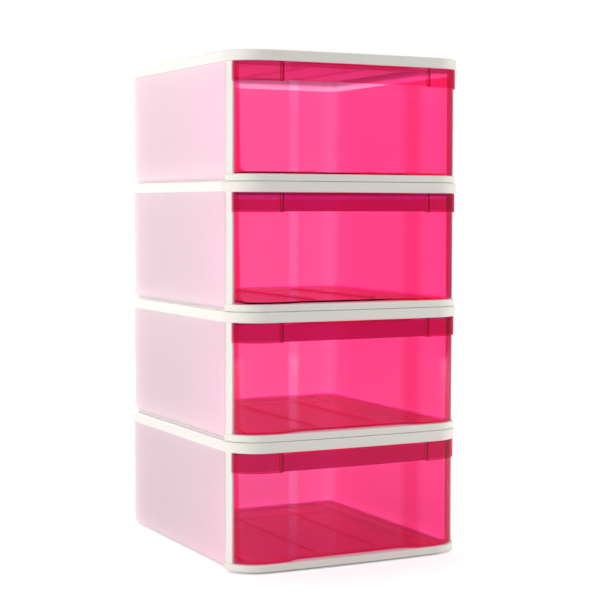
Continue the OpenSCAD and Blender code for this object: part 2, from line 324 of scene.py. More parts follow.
def shell_mesh():
    """The skin of the two sides and the back, open to the front."""
    bm = bmesh.new()
    rings = []
    for step in range(ROLL_STEPS + 1):
        turn = math.pi / 2 * step / ROLL_STEPS
        inset = SHELL_LOW_INSET + SHELL_ROLL * (1 - math.sin(turn))
        height = SHELL_BOTTOM + SHELL_ROLL_H * (1 - math.cos(turn))
        rings.append(closed_ring(bm, inset, height))
    rings.append(closed_ring(bm, SHELL_INSET, SHELL_TOP))
    for lower, upper in zip(rings, rings[1:]):
        bmesh.ops.bridge_loops(bm, edges=lower + upper)
    bmesh.ops.recalc_face_normals(bm, faces=bm.faces)
    cut(bm, (0, FRAME_BACK_Y, 0), (0, -1, 0))
    side = max(bm.faces, key=lambda f: f.calc_center_median().x)
    if side.normal.x < 0:
        bmesh.ops.reverse_faces(bm, faces=bm.faces)
    return bm


print("the shell's wall is", round((SHELL_TOP - SHELL_BOTTOM) / MM, 1), "mm high")

# %% [markdown]
# ## The front frames
# The frame is a bowed hollow shelf under the drawer, a slim post at each side
# and a rail across the top. The shelf is cut from the same outline, so its
# curve follows the lid's.

# %% Build one front frame
SHELF_BOTTOM = 2.3 * MM
SHELF_TOP = 10.7 * MM
SHELF_WALL = 2.5 * MM
SHELF_INSET = 1.2 * MM
SHELF_ROUND = 1.2 * MM
OPENING_HALF_W = 147.5 * MM
RAIL_BOTTOM = 138 * MM
RAIL_D = 7 * MM
SOFT = 0.5 * MM
POST_ANGLE = 0.7


def front_plan(bm, inset, z, back_y):
    """The part of the outline ahead of a line across, as one face."""
    fill(bm, closed_ring(bm, inset, z))
    cut(bm, (0, back_y, 0), (0, 1, 0))
    bm.faces.ensure_lookup_table()
    return bm.faces[0]


def frame_mesh():
    """The bowed shelf, open below, with its two posts and the rail on top."""
    bm = bmesh.new()
    base = front_plan(bm, SHELF_INSET, SHELF_BOTTOM, FRAME_BACK_Y)
    raise_face(bm, base, SHELF_TOP - SHELF_BOTTOM)
    inset_face(bm, base, SHELF_WALL)
    raise_face(bm, base, SHELF_TOP - SHELF_WALL - SHELF_BOTTOM)
    bmesh.ops.recalc_face_normals(bm, faces=bm.faces)
    ends = [e for e in bm.edges if on_outline(e, SHELF_INSET)]
    rims = [e for z in (SHELF_BOTTOM, SHELF_TOP) for e in rim_edges(bm, z) if e in ends]
    round_edges(bm, rims, SHELF_ROUND, 4)
    for side in (-1, 1):
        post_on(bm, side)
    rail = box_at(bm, (-OPENING_HALF_W - MM, FACE_Y, RAIL_BOTTOM),
                  (OPENING_HALF_W + MM, FACE_Y + RAIL_D, SHELL_TOP))
    rail_edges = {e for v in rail for e in v.link_edges}
    round_edges(bm, list(rail_edges), SOFT, 2)
    return bm


def post_on(bm, side):
    """Adds a post: the corner of the outline that stands beside the opening."""
    post = bmesh.new()
    fill(post, closed_ring(post, SHELL_INSET, SHELF_TOP - MM))
    cut(post, (0, FRAME_BACK_Y, 0), (0, 1, 0))
    cut(post, (0, FACE_Y, 0), (0, -1, 0))
    cut(post, (side * OPENING_HALF_W, 0, 0), (-side, 0, 0))
    post.faces.ensure_lookup_table()
    raise_face(post, post.faces[0], SHELL_TOP - SHELF_TOP + MM)
    bmesh.ops.recalc_face_normals(post, faces=post.faces)
    post.normal_update()
    sharp = [e for e in post.edges if e.is_manifold and e.calc_face_angle(0) > POST_ANGLE]
    round_edges(post, sharp, SOFT, 2)
    mesh = bpy.data.meshes.new("post")
    post.to_mesh(mesh)
    post.free()
    bm.from_mesh(mesh)
    bpy.data.meshes.remove(mesh)


print("the drawer's opening is", round(2 * OPENING_HALF_W / MM), "mm wide")

# %% [markdown]
# ## The drawers
# A drawer is one clear moulding about two millimetres thick: a tub, a bowed
# front with a hollow, and a pull lip that hangs in front of the hollow on two
# webs. Through clear plastic every inner face shows, so the walls have to be
# one clean skin and not overlapping blocks. The skin is drawn at the middle
# of the walls and Solidify gives it thickness on both sides.

# %% Sizes of the drawer
WALL_T = 2.2 * MM
HALF_T = WALL_T / 2
PANEL_INSET = 4.2 * MM + HALF_T
LIP_INSET = 1.5 * MM + HALF_T
FLOOR_Z = SHELF_TOP + SLIDE_GAP + HALF_T
LIP_BOTTOM = DRAWER_TOP - 22 * MM
ROOF_Z = DRAWER_TOP - HALF_T
RIM_Z = DRAWER_TOP - 7 * MM
HEAD_BACK_Y = FACE_Y - SLIDE_GAP - HALF_T
HOLLOW_D = 9.3 * MM
HOLLOW_HALF_W = 66.5 * MM
HOLLOW_OUTER_HALF_W = 93.5 * MM
WEB_X = 98.7 * MM
TUB_HALF_W = 141 * MM + HALF_T
TUB_DRAFT = 2.6 * MM
TUB_BACK_Y = HALF_D - 17.8 * MM + HALF_T
TUB_CORNER_R = 15 * MM
TUB_FLOOR_R = 9 * MM
FLOOR_RIB_X = 41.5 * MM
FLOOR_RIB_TOP = 15.4 * MM
DRAWER_TRAVEL = 225 * MM
STOP_T = 3 * MM
STOP_Y = FRAME_BACK_Y + DRAWER_TRAVEL + SLIDE_GAP + STOP_T / 2
FLOOR_RIB_START = HEAD_BACK_Y + 4 * MM
FLOOR_RIB_END = STOP_Y - STOP_T / 2 - 2 * MM
STOP_HALF_W = 103 * MM
STOP_BOTTOM = DRAWER_BOTTOM


def hollow(x):
    """Depth of the front's hollow: an S-curve from its edge to its floor."""
    run = HOLLOW_OUTER_HALF_W - HOLLOW_HALF_W
    u = max(0.0, min(1.0, (HOLLOW_OUTER_HALF_W - abs(x)) / run))
    return HOLLOW_D * u * u * (3 - 2 * u)


def onto_inset(vert, inset):
    """Moves a front vertex straight out to the outline at another inset."""
    side = math.copysign(1, vert.co.x)
    if abs(vert.co.y - HEAD_BACK_Y) < SAME:
        rise = vert.co.y - CORNER_Y
        reach = math.sqrt((FRONT_R - inset) ** 2 - rise**2)
        vert.co.x = side * (CORNER_X + reach)
    elif abs(vert.co.x) > CORNER_X:
        centre = Vector((side * CORNER_X, CORNER_Y, vert.co.z))
        vert.co = centre + (vert.co - centre).normalized() * (FRONT_R - inset)
    else:
        vert.co.y = BOW_Y - math.sqrt((BOW_R - inset) ** 2 - vert.co.x**2)


def pull_edges(bm, edges, shift=(0, 0, 0), inset=None):
    """Extrudes edges, moves the new ones, and returns them."""
    made = bmesh.ops.extrude_edge_only(bm, edges=edges)["geom"]
    verts = [g for g in made if isinstance(g, bmesh.types.BMVert)]
    bmesh.ops.translate(bm, vec=shift, verts=verts)
    if inset is not None:
        for vert in verts:
            onto_inset(vert, inset)
    return [g for g in made if isinstance(g, bmesh.types.BMEdge)
            and all(v in verts for v in g.verts)]


print("the lip stands", round((PANEL_INSET - LIP_INSET) / MM, 1), "mm ahead of the panel")

# %% [markdown]
# The tub is a plate with its two sides and its back folded up. Bevelling the
# upright corners first and the floor's edges second gives the two radii.

# %% The tub
def tub_skin(bm):
    """Folds up the tub and widens it towards its rim by the mould's draft."""
    corners = [(-TUB_HALF_W, HEAD_BACK_Y), (TUB_HALF_W, HEAD_BACK_Y),
               (TUB_HALF_W, TUB_BACK_Y), (-TUB_HALF_W, TUB_BACK_Y)]
    verts = [bm.verts.new((x, y, FLOOR_Z)) for x, y in corners]
    floor = bm.faces.new(verts)
    walls = [e for e in floor.edges if max(v.co.y for v in e.verts) > 0]
    pull_edges(bm, walls, shift=(0, 0, RIM_Z - FLOOR_Z))
    upright = [e for e in bm.edges if is_upright(e) and e.verts[0].co.y > 0]
    round_edges(bm, upright, TUB_CORNER_R, 7)
    low = [e for e in bm.edges if e.is_manifold
           and all(abs(v.co.z - FLOOR_Z) < SAME for v in e.verts)]
    round_edges(bm, low, TUB_FLOOR_R, 7)
    for vert in bm.verts:
        rise = (vert.co.z - FLOOR_Z) / (RIM_Z - FLOOR_Z)
        share = min(1.0, abs(vert.co.x) / TUB_HALF_W)
        vert.co.x += math.copysign(TUB_DRAFT * rise * share, vert.co.x)


def is_upright(edge):
    """True if an edge runs straight up."""
    low, high = edge.verts
    return abs(low.co.z - high.co.z) > MM and (low.co.xy - high.co.xy).length < SAME


print("the tub's rim lies", round((DRAWER_TOP - RIM_Z) / MM, 1), "mm below the head's")

# %% [markdown]
# The head is drawn on from the tub's front. Its front line is a chain of
# arcs; the hollow pushes that line in before it is pulled up into a panel.
# Above the lip's lower edge the skin parts in two: outside the webs it steps
# out into the band, between them the panel goes up, turns over and comes down
# again as the lip.

# %% The head
HEAD_ROUND = 1.6 * MM
WEB_CLEARANCE = 1.5 * HALF_T


def head_skin(bm):
    """Draws the head's front line, and pulls it up into panel, band and lip."""
    known = set(bm.edges)
    front_chain(bm, PANEL_INSET, FLOOR_Z)
    fresh = [e for e in bm.edges if e not in known]
    geom = fresh + list({v for e in fresh for v in e.verts})
    for normal, x, y, drop in (((0, 1, 0), 0, HEAD_BACK_Y, True),
                               ((1, 0, 0), WEB_X, 0, False),
                               ((1, 0, 0), -WEB_X, 0, False)):
        kept = bmesh.ops.bisect_plane(
            bm, geom=geom, dist=CUT_DIST, plane_co=(x, y, 0), plane_no=normal,
            clear_outer=drop, clear_inner=False)
        geom = [g for g in kept["geom"] if g.is_valid]
    clear_of_webs(bm, {v for e in bm.edges if e not in known for v in e.verts})
    line = [e for e in bm.edges if e not in known and not e.link_faces]
    for vert in {v for e in line for v in e.verts}:
        vert.co.y += hollow(vert.co.x)
    ends = [v for v in {v for e in line for v in e.verts} if len(v.link_edges) == 1]
    close_floor(bm, ends, line)
    top = pull_edges(bm, line, shift=(0, 0, LIP_BOTTOM - FLOOR_Z))
    round_edges(bm, line, HEAD_ROUND, 3)
    middle = [e for e in top if max(abs(v.co.x) for v in e.verts) < WEB_X + SAME]
    outer = [e for e in top if e not in middle]
    pull_lip(bm, middle)
    band = pull_edges(bm, outer, inset=LIP_INSET)
    band = pull_edges(bm, band, shift=(0, 0, ROOF_Z - LIP_BOTTOM))
    pull_edges(bm, band, shift=(0, 0, DRAWER_TOP - ROOF_Z))


def clear_of_webs(bm, verts):
    """Merges what lies too near a web, or the two walls would fold there."""
    for x in (-WEB_X, WEB_X):
        at_web = min(verts, key=lambda v: abs(v.co.x - x))
        near = [v for v in verts if v is not at_web and abs(v.co.x - x) < WEB_CLEARANCE]
        if near:
            bmesh.ops.pointmerge(bm, verts=[at_web, *near], merge_co=at_web.co.copy())
        verts = {v for v in verts if v.is_valid}


def close_floor(bm, ends, line):
    """Fills the head's floor between the front line and the tub's floor."""
    seam = [e for e in bm.edges if e.is_boundary
            and all(abs(v.co.y - HEAD_BACK_Y) < SAME for v in e.verts)
            and all(abs(v.co.z - FLOOR_Z) < SAME for v in e.verts)]
    links = []
    for end in ends:
        near = min((v for e in seam for v in e.verts),
                   key=lambda v: (v.co - end.co).length)
        links.append(bm.edges.new((end, near)))
    fill(bm, line + seam + links)


def pull_lip(bm, middle):
    """Takes the panel up, over and down again as the pull lip."""
    upper = pull_edges(bm, middle, shift=(0, 0, ROOF_Z - LIP_BOTTOM))
    roof = pull_edges(bm, upper, inset=LIP_INSET)
    pull_edges(bm, roof, shift=(0, 0, LIP_BOTTOM - ROOF_Z))


print("the hollow is", round(HOLLOW_D / MM, 1), "mm deep behind the lip")

# %% [markdown]
# What is left is flat: the webs at the ends of the lip, the strips behind the
# head beside the tub, two ribs on the floor and the stop bar under it.

# %% Webs, strips, ribs and stop bar
SEAM = 0.02 * MM
STRIP_FROM = 50 * MM


def web_skins(bm):
    """Closes the two ends of the lip with a web each."""
    for side in (-1, 1):
        x = side * WEB_X
        near = [v for v in bm.verts if abs(v.co.x - x) < SAME
                and LIP_BOTTOM - SAME < v.co.z < ROOF_Z + SAME]
        low = sorted((v for v in near if v.co.z < LIP_BOTTOM + SAME), key=lambda v: v.co.y)
        high = sorted((v for v in near if v.co.z > ROOF_Z - SAME), key=lambda v: v.co.y)
        bm.faces.new((low[0], low[-1], high[-1], high[0]))


def back_strips(bm):
    """Closes the head behind, between the tub's side and the head's edge."""
    for side in (-1, 1):
        rim = [e for e in bm.edges if len(e.link_faces) == 1
               and all(abs(v.co.y - HEAD_BACK_Y) < SAME for v in e.verts)
               and all(v.co.x * side > STRIP_FROM for v in e.verts)]
        loose = {}
        for e in rim:
            for v in e.verts:
                loose[v] = loose.get(v, 0) + 1
        ends = sorted((v for v, n in loose.items() if n == 1), key=lambda v: v.co.z)
        inner = [v for v in ends if v.co.z < RIM_Z + CLOSE][-1]
        outer = ends[-1]
        top = bm.verts.new((inner.co.x, HEAD_BACK_Y, DRAWER_TOP))
        rim += [bm.edges.new((inner, top)), bm.edges.new((top, outer))]
        fill(bm, rim)


def ribs_and_stop(bm):
    """Raises strips along cuts in the floor."""
    def cut_floor(point, normal):
        floor = [f for f in bm.faces if f.normal.z and all(
            abs(v.co.z - FLOOR_Z) < SAME for v in f.verts)]
        geom = floor + list({e for f in floor for e in f.edges})
        geom += list({v for f in floor for v in f.verts})
        bmesh.ops.bisect_plane(bm, geom=geom, dist=CUT_DIST, plane_co=point, plane_no=normal)

    def along(test):
        return [e for e in bm.edges if len(e.link_faces) == 2
                and all(abs(v.co.z - FLOOR_Z) < SAME and test(v.co) for v in e.verts)]

    for x in (-FLOOR_RIB_X, FLOOR_RIB_X):
        cut_floor((x, 0, 0), (1, 0, 0))
    for y in (FLOOR_RIB_START, FLOOR_RIB_END):
        cut_floor((0, y, 0), (0, 1, 0))
    for x in (-STOP_HALF_W, STOP_HALF_W):
        cut_floor((x, 0, 0), (1, 0, 0))
    cut_floor((0, STOP_Y, 0), (0, 1, 0))
    for x in (-FLOOR_RIB_X, FLOOR_RIB_X):
        rib = along(lambda co: abs(co.x - x) < SAME
                    and FLOOR_RIB_START - SAME < co.y < FLOOR_RIB_END + SAME)
        pull_edges(bm, rib, shift=(0, 0, FLOOR_RIB_TOP - FLOOR_Z))
    stop = along(lambda co: abs(co.y - STOP_Y) < SAME and abs(co.x) < STOP_HALF_W + SAME)
    pull_edges(bm, stop, shift=(0, 0, STOP_BOTTOM - FLOOR_Z))


def drawer_skin():
    """The whole drawer as one skin at the middle of its walls."""
    bm = bmesh.new()
    tub_skin(bm)
    head_skin(bm)
    bmesh.ops.remove_doubles(bm, verts=bm.verts, dist=SEAM)
    web_skins(bm)
    back_strips(bm)
    bm.normal_update()
    ribs_and_stop(bm)
    return bm


print("the stop bar stands", round((STOP_Y - FRAME_BACK_Y) / MM, 1), "mm behind the frame")

# %% [markdown]
# ## Finishes
# Moulded plastic is never one flat colour: it has a fine grain from the
# mould, faint flow clouds, and scuffs that change its gloss. These effects are
# shared by all the plastics, so they live in one node group that puts out a
# colour, a roughness and a height.

# %% A node group for moulded plastic
def math_node(nodes, links, kind, a, b=None):
    """Adds a Math node fed by sockets or numbers."""
    node = nodes.new("ShaderNodeMath")
    node.operation = kind
    for socket, value in zip(node.inputs, (a, b)):
        if isinstance(value, bpy.types.NodeSocket):
            links.new(value, socket)
        elif value is not None:
            socket.default_value = value
    return node.outputs[0]


def noise(nodes, links, place, scale, detail=2.0, roughness=0.5):
    """Adds a Noise texture on the given place."""
    node = nodes.new("ShaderNodeTexNoise")
    node.inputs["Scale"].default_value = scale
    node.inputs["Detail"].default_value = detail
    node.inputs["Roughness"].default_value = roughness
    links.new(place, node.inputs["Vector"])
    return node.outputs["Fac"]


CLOUD_SCALE, GRAIN_SCALE, SMEAR_SCALE = 9, 1400, 38
CLOUD_RELIEF = 6.0


def moulded_group():
    """Builds the shared finish: clouds in the colour, smears in the gloss, grain."""
    group = bpy.data.node_groups.new("moulded_plastic", "ShaderNodeTree")
    sockets = group.interface
    sockets.new_socket("Place", in_out="INPUT", socket_type="NodeSocketVector")
    sockets.new_socket("Colour", in_out="INPUT", socket_type="NodeSocketColor")
    sockets.new_socket("Cloud Colour", in_out="INPUT", socket_type="NodeSocketColor")
    for name, value in (("Cloud Share", 0.5), ("Gloss", 0.3), ("Scuffs", 0.1)):
        socket = sockets.new_socket(name, in_out="INPUT", socket_type="NodeSocketFloat")
        socket.default_value = value
    sockets.new_socket("Colour", in_out="OUTPUT", socket_type="NodeSocketColor")
    sockets.new_socket("Roughness", in_out="OUTPUT", socket_type="NodeSocketFloat")
    sockets.new_socket("Height", in_out="OUTPUT", socket_type="NodeSocketFloat")
    nodes, links = group.nodes, group.links
    given = nodes.new("NodeGroupInput")
    result = nodes.new("NodeGroupOutput")
    place = given.outputs["Place"]
    clouds = noise(nodes, links, place, CLOUD_SCALE)
    grain = noise(nodes, links, place, GRAIN_SCALE)
    smears = noise(nodes, links, place, SMEAR_SCALE, detail=5, roughness=0.65)
    mix = nodes.new("ShaderNodeMix")
    mix.data_type = "RGBA"
    share = math_node(nodes, links, "MULTIPLY", clouds, given.outputs["Cloud Share"])
    links.new(share, mix.inputs["Factor"])
    links.new(given.outputs["Colour"], mix.inputs["A"])
    links.new(given.outputs["Cloud Colour"], mix.inputs["B"])
    links.new(mix.outputs["Result"], result.inputs["Colour"])
    scuffed = math_node(nodes, links, "MULTIPLY", smears, given.outputs["Scuffs"])
    rough = math_node(nodes, links, "ADD", given.outputs["Gloss"], scuffed)
    links.new(rough, result.inputs["Roughness"])
    ripples = math_node(nodes, links, "MULTIPLY", clouds, CLOUD_RELIEF)
    height = math_node(nodes, links, "ADD", ripples, grain)
    links.new(height, result.inputs["Height"])
    return group


MOULDED = moulded_group()
print(MOULDED.name, "has", len(MOULDED.nodes), "nodes")

# %% [markdown]
# Each plastic then has its own material. All of them are satin. The shells and
# the lids' thin plates let some light through, so their shader is mixed with a
# Translucent one. The foot trays are the same white plastic, seen only through
# the tinted drawers, and a little brighter: painted light standing in for the
# light that reaches them.

# %% The satin plastics
GRAIN_DEPTH = 0.02 * MM
SATIN = {"share": 0.6, "gloss": 0.34, "scuffs": 0.12, "bump": 0.5}


def plastic(name, colour, cloud, share, gloss, scuffs, bump):
    """A material with the moulded finish on a Principled shader."""
    material = bpy.data.materials.new(name)
    material.use_nodes = True
    nodes, links = material.node_tree.nodes, material.node_tree.links
    shader = nodes["Principled BSDF"]
    where = nodes.new("ShaderNodeTexCoord")
    finish = nodes.new("ShaderNodeGroup")
    finish.node_tree = MOULDED
    finish.inputs["Colour"].default_value = (*colour, 1)
    finish.inputs["Cloud Colour"].default_value = (*cloud, 1)
    finish.inputs["Cloud Share"].default_value = share
    finish.inputs["Gloss"].default_value = gloss
    finish.inputs["Scuffs"].default_value = scuffs
    links.new(where.outputs["Object"], finish.inputs["Place"])
    links.new(finish.outputs["Colour"], shader.inputs["Base Color"])
    links.new(finish.outputs["Roughness"], shader.inputs["Roughness"])
    relief = nodes.new("ShaderNodeBump")
    relief.inputs["Strength"].default_value = bump
    relief.inputs["Distance"].default_value = GRAIN_DEPTH
    links.new(finish.outputs["Height"], relief.inputs["Height"])
    links.new(relief.outputs["Normal"], shader.inputs["Normal"])
    return material, shader


def let_light_through(material, shader, colour, share):
    """Mixes in a Translucent shader, as a thin frosted wall has.

    The wall has two surfaces, and light should be scattered once. So the one
    that a ray meets from inside the wall is fully transparent.
    """
    nodes, links = material.node_tree.nodes, material.node_tree.links
    through = nodes.new("ShaderNodeBsdfTranslucent")
    through.inputs["Color"].default_value = (*colour, 1)
    frosted = nodes.new("ShaderNodeMixShader")
    frosted.inputs["Fac"].default_value = share
    links.new(shader.outputs["BSDF"], frosted.inputs[1])
    links.new(through.outputs["BSDF"], frosted.inputs[2])
    side = nodes.new("ShaderNodeNewGeometry")
    clear = nodes.new("ShaderNodeBsdfTransparent")
    once = nodes.new("ShaderNodeMixShader")
    links.new(side.outputs["Backfacing"], once.inputs["Fac"])
    links.new(frosted.outputs["Shader"], once.inputs[1])
    links.new(clear.outputs["BSDF"], once.inputs[2])
    links.new(once.outputs["Shader"], nodes["Material Output"].inputs["Surface"])


WHITE, _ = plastic("white_plastic", (0.86, 0.84, 0.775), (0.83, 0.81, 0.745), **SATIN)
# The trays' white is brighter than the white plastic's own colour: painted light.
TRAY_LIT_WHITE, _ = plastic("tray_white_painted_light", (0.96, 0.95, 0.95), (0.94, 0.93, 0.93), **SATIN)
PLATE, plate_shader = plastic("white_plate", (0.87, 0.855, 0.81), (0.84, 0.825, 0.78), **SATIN)
let_light_through(PLATE, plate_shader, (0.97, 0.96, 0.94), 0.2)
PALE, pale_shader = plastic(
    "pale_pink_plastic", (0.97, 0.94, 0.94), (0.96, 0.92, 0.925), **{**SATIN, "gloss": 0.36})
let_light_through(PALE, pale_shader, (0.98, 0.95, 0.955), 0.45)
print("satin plastics:", [m.name for m in (WHITE, TRAY_LIT_WHITE, PLATE, PALE)])

# %% [markdown]
# Clear plastic is glass with a tint. The tint could sit on the surface or
# inside the wall, and the real one shows both: flat walls look alike from any
# side, but where a wall is seen along its length it turns deep magenta. So the
# base colour takes a share of the light at each surface, and a dye in the
# volume takes more the further a ray runs inside. Glass would keep the lamps'
# light off what lies behind it, so the material is fully transparent to shadow
# rays and to diffuse ones. The clear body hardly bends light at all, because a
# bending one traps rays inside its walls until they go black; the gloss comes
# from a coat instead.

# %% The clear plastic
CLEAR_IOR = 1.005
COAT_SHARE, COAT_IOR, COAT_ROUGHNESS = 0.45, 1.5, 0.04
DYE_THROUGH_WALL = (0.99, 0.60, 0.82)
DYE_DENSITY = 400
SKIN_TINT = (0.99, 0.54, 0.69)
SKIN_CLOUD = (0.99, 0.51, 0.67)
POLISHED = {"share": 0.5, "gloss": 0.02, "scuffs": 0.03, "bump": 0.12}


def clear_plastic(name, colour, cloud, finish):
    """A clear plastic whose gloss comes from its coat."""
    material, shader = plastic(name, colour, cloud, **finish)
    shader.inputs["Transmission Weight"].default_value = 1
    shader.inputs["IOR"].default_value = CLEAR_IOR
    shader.inputs["Coat Weight"].default_value = COAT_SHARE
    shader.inputs["Coat IOR"].default_value = COAT_IOR
    shader.inputs["Coat Roughness"].default_value = COAT_ROUGHNESS
    nodes, links = material.node_tree.nodes, material.node_tree.links
    path = nodes.new("ShaderNodeLightPath")
    open_way = nodes.new("ShaderNodeBsdfTransparent")
    passes = math_node(nodes, links, "MAXIMUM", path.outputs["Is Shadow Ray"],
                       path.outputs["Is Diffuse Ray"])
    mix = nodes.new("ShaderNodeMixShader")
    links.new(passes, mix.inputs["Fac"])
    links.new(shader.outputs["BSDF"], mix.inputs[1])
    links.new(open_way.outputs["BSDF"], mix.inputs[2])
    links.new(mix.outputs["Shader"], nodes["Material Output"].inputs["Surface"])
    return material


def dye(material):
    """Fills a clear material with dye, set by the light one wall lets through."""
    nodes, links = material.node_tree.nodes, material.node_tree.links
    inside = nodes.new("ShaderNodeVolumeAbsorption")
    taken = [-math.log(share) / WALL_T for share in DYE_THROUGH_WALL]
    inside.inputs["Color"].default_value = (*[1 - t / DYE_DENSITY for t in taken], 1)
    inside.inputs["Density"].default_value = DYE_DENSITY
    links.new(inside.outputs["Volume"], nodes["Material Output"].inputs["Volume"])
    print("dye colour:", [round(1 - t / DYE_DENSITY, 3) for t in taken])


def multiply_tint_and_light(material):
    """Multiplies a material's tint by the one marked on the faces, which holds painted highlight
    and shade too.
    """
    nodes, links = material.node_tree.nodes, material.node_tree.links
    shader = nodes["Principled BSDF"]
    plain = shader.inputs["Base Color"].links[0].from_socket
    mark = nodes.new("ShaderNodeAttribute")
    mark.attribute_name = TINT_AND_LIGHT_MARK
    mix = nodes.new("ShaderNodeMix")
    mix.data_type = "RGBA"
    mix.blend_type = "MULTIPLY"
    mix.inputs["Factor"].default_value = 1
    links.new(plain, mix.inputs["A"])
    links.new(mark.outputs["Color"], mix.inputs["B"])
    links.new(mix.outputs["Result"], shader.inputs["Base Color"])


TINT_AND_LIGHT_MARK = "tint_and_painted_light"
CLEAR = clear_plastic("clear_magenta_plastic", SKIN_TINT, SKIN_CLOUD, POLISHED)
dye(CLEAR)
multiply_tint_and_light(CLEAR)
print("clear plastic:", CLEAR.name)

# %% [markdown]
# The faces of a drawer are tinted one by one. The lip, the webs and the band
# beside them are deeper than the walls, and the floor is a little lighter. In
# the photograph the left slope of the hollow shows lighter too, and the right
# one deeper; that is painted onto the slopes, a painted highlight on the left
# one and painted shade on the right one. The tint is stored as a colour
# attribute, which the material multiplies into its own colour, and the faces
# are found by where they lie in plan: how far inside the outline, and how far
# from the middle. The uppermost lip lies under a lid with nothing on it, so it
# would get more light; that light is painted in as a lighter tint of its lip,
# webs and band, and the other three drawers get a deeper one, painted shade
# of the lid above them.

# %% Mark the tinted faces, with the painted highlight and shade
def inset_at(x, y):
    """How far inside the plan outline a point of the front lies."""
    if abs(x) < CORNER_X:
        return BOW_R - math.hypot(x, y - BOW_Y)
    return FRONT_R - math.hypot(abs(x) - CORNER_X, y - CORNER_Y)


NO_TINT = (1, 1, 1)
EDGE_SLACK = 0.3 * MM
HEIGHT_SLACK = 0.1 * MM
# GLEAM paints a highlight on the hollow's left slope and SHADE paints shade on its right slope.
SLOPE_X = 80.5 * MM
WEB_REACH = 2.3 * MM
GLEAM_REACH = 9.5 * MM
GLEAM = (0.0, 0.84, 0.40)
GLEAM_STEEPNESS = 2
FLOOR_TINT = (1.0, 1.35, 1.4)
SHADE_REACH = 14 * MM
SHADE = (0.06, 0.45, 0.28)
SHADE_STEEPNESS = 1.5
# The uppermost drawer's lip, web and band tints are lighter, painted light from above; the lower
# three's are deeper, painted shade of the lid above them.
TOP_LIT_TINTS = {"lip": (0.90, 0.62, 0.85), "web": (0.45, 0.02, 0.10), "band": (0.87, 0.19, 0.42)}
LID_SHADED_TINTS = {"lip": (0.52, 0.07, 0.45), "web": (0.24, 0.005, 0.06), "band": (0.53, 0.05, 0.27)}


def slope_highlight_and_shade(x):
    """The hollow's slopes: a painted highlight on the left one, painted shade on the right one.
    """
    left = min(1, GLEAM_STEEPNESS * max(0, 1 - abs(x + SLOPE_X) / GLEAM_REACH))
    right = min(1, SHADE_STEEPNESS * max(0, 1 - abs(x - SLOPE_X) / SHADE_REACH))
    return tuple(1 + left * more - right * less for more, less in zip(GLEAM, SHADE))


def tint_at(point, tints):
    """The tint of the floor, the lip, the webs and the band, and the slopes' painted highlight
    and shade.
    """
    if point.y > HEAD_BACK_Y - HALF_T:
        return FLOOR_TINT if point.z < FLOOR_Z + WALL_T else NO_TINT
    if point.z < LIP_BOTTOM - HALF_T - HEIGHT_SLACK:
        return slope_highlight_and_shade(point.x) if point.z > FLOOR_Z + HEAD_ROUND else NO_TINT
    if inset_at(point.x, point.y) > LIP_INSET + HALF_T + EDGE_SLACK:
        return NO_TINT
    beyond = abs(point.x) - WEB_X
    if abs(beyond) < WEB_REACH:
        return tints["web"]
    return tints["band"] if beyond > 0 else tints["lip"]


def mark_tint_and_light(piece, lift, tints):
    """Writes the tint of each face, painted highlight and shade among it, where the clear
    material reads it.
    """
    mark = piece.data.attributes.new(TINT_AND_LIGHT_MARK, "FLOAT_COLOR", "FACE")
    marked = 0
    for face, value in zip(piece.data.polygons, mark.data):
        tint = tint_at(face.center - Vector((0, 0, lift)), tints)
        value.color = (*tint, 1)
        marked += tint != NO_TINT
    print(piece.name, "tinted faces:", marked)


# %% [markdown]
# ## Putting the pieces in the tower
# Each moulding is made once and copied into every unit. The modifiers give
# the skins their walls and take the sharpness off every edge; Weighted Normal
# keeps the large flats flat.

# %% Finish and place the pieces
SHELL_EDGE, DRAWER_EDGE = 0.4 * MM, 0.3 * MM
BEVEL_ANGLE = math.radians(38)


def with_modifiers(piece, wall=None, offset=-1.0, edge=SHELL_EDGE):
    """Bakes a wall, softened edges and steady normals into a piece."""
    if wall:
        solid = piece.modifiers.new("wall", "SOLIDIFY")
        solid.solidify_mode = "NON_MANIFOLD"
        solid.nonmanifold_thickness_mode = "CONSTRAINTS"
        solid.thickness = wall
        solid.offset = offset
        weld = piece.modifiers.new("weld", "WELD")
        weld.merge_threshold = SEAM
    if edge:
        soften = piece.modifiers.new("soft_edges", "BEVEL")
        soften.width = edge
        soften.segments = 2
        soften.limit_method = "ANGLE"
        soften.angle_limit = BEVEL_ANGLE
        soften.use_clamp_overlap = False
    steady = piece.modifiers.new("steady_normals", "WEIGHTED_NORMAL")
    steady.keep_sharp = True
    graph = bpy.context.evaluated_depsgraph_get()
    mesh = bpy.data.meshes.new_from_object(piece.evaluated_get(graph))
    piece.modifiers.clear()
    old, piece.data = piece.data, mesh
    bpy.data.meshes.remove(old)
    mesh.name = piece.name


for piece in stacked(lid_mesh(), "lid_cap", "lid", "unit", [WHITE, PLATE]):
    with_modifiers(piece, edge=None)
for piece in stacked(shell_mesh(), "side_shell", "shell", "unit", [PALE]):
    with_modifiers(piece, wall=SHELL_T)
for piece in stacked(frame_mesh(), "bowed_frame", "front_frame", "unit",
                     [WHITE]):
    with_modifiers(piece, edge=None)
for number, piece in enumerate(stacked(
        drawer_skin(), "clear_drawer", "drawer", "drawer_body", [CLEAR])):
    with_modifiers(piece, wall=WALL_T, offset=0, edge=DRAWER_EDGE)
    # the top drawer takes the tints with painted light, the others those with painted shade
    mark_tint_and_light(piece, number * PITCH, TOP_LIT_TINTS if number == UNITS - 1 else LID_SHADED_TINTS)
# The foot trays take the brighter white, which is painted light.
for number in range(1, UNITS + 1):
    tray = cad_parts[f"foot_tray_{number}"]
    tray.data.materials.clear()
    tray.data.materials.append(TRAY_LIT_WHITE)

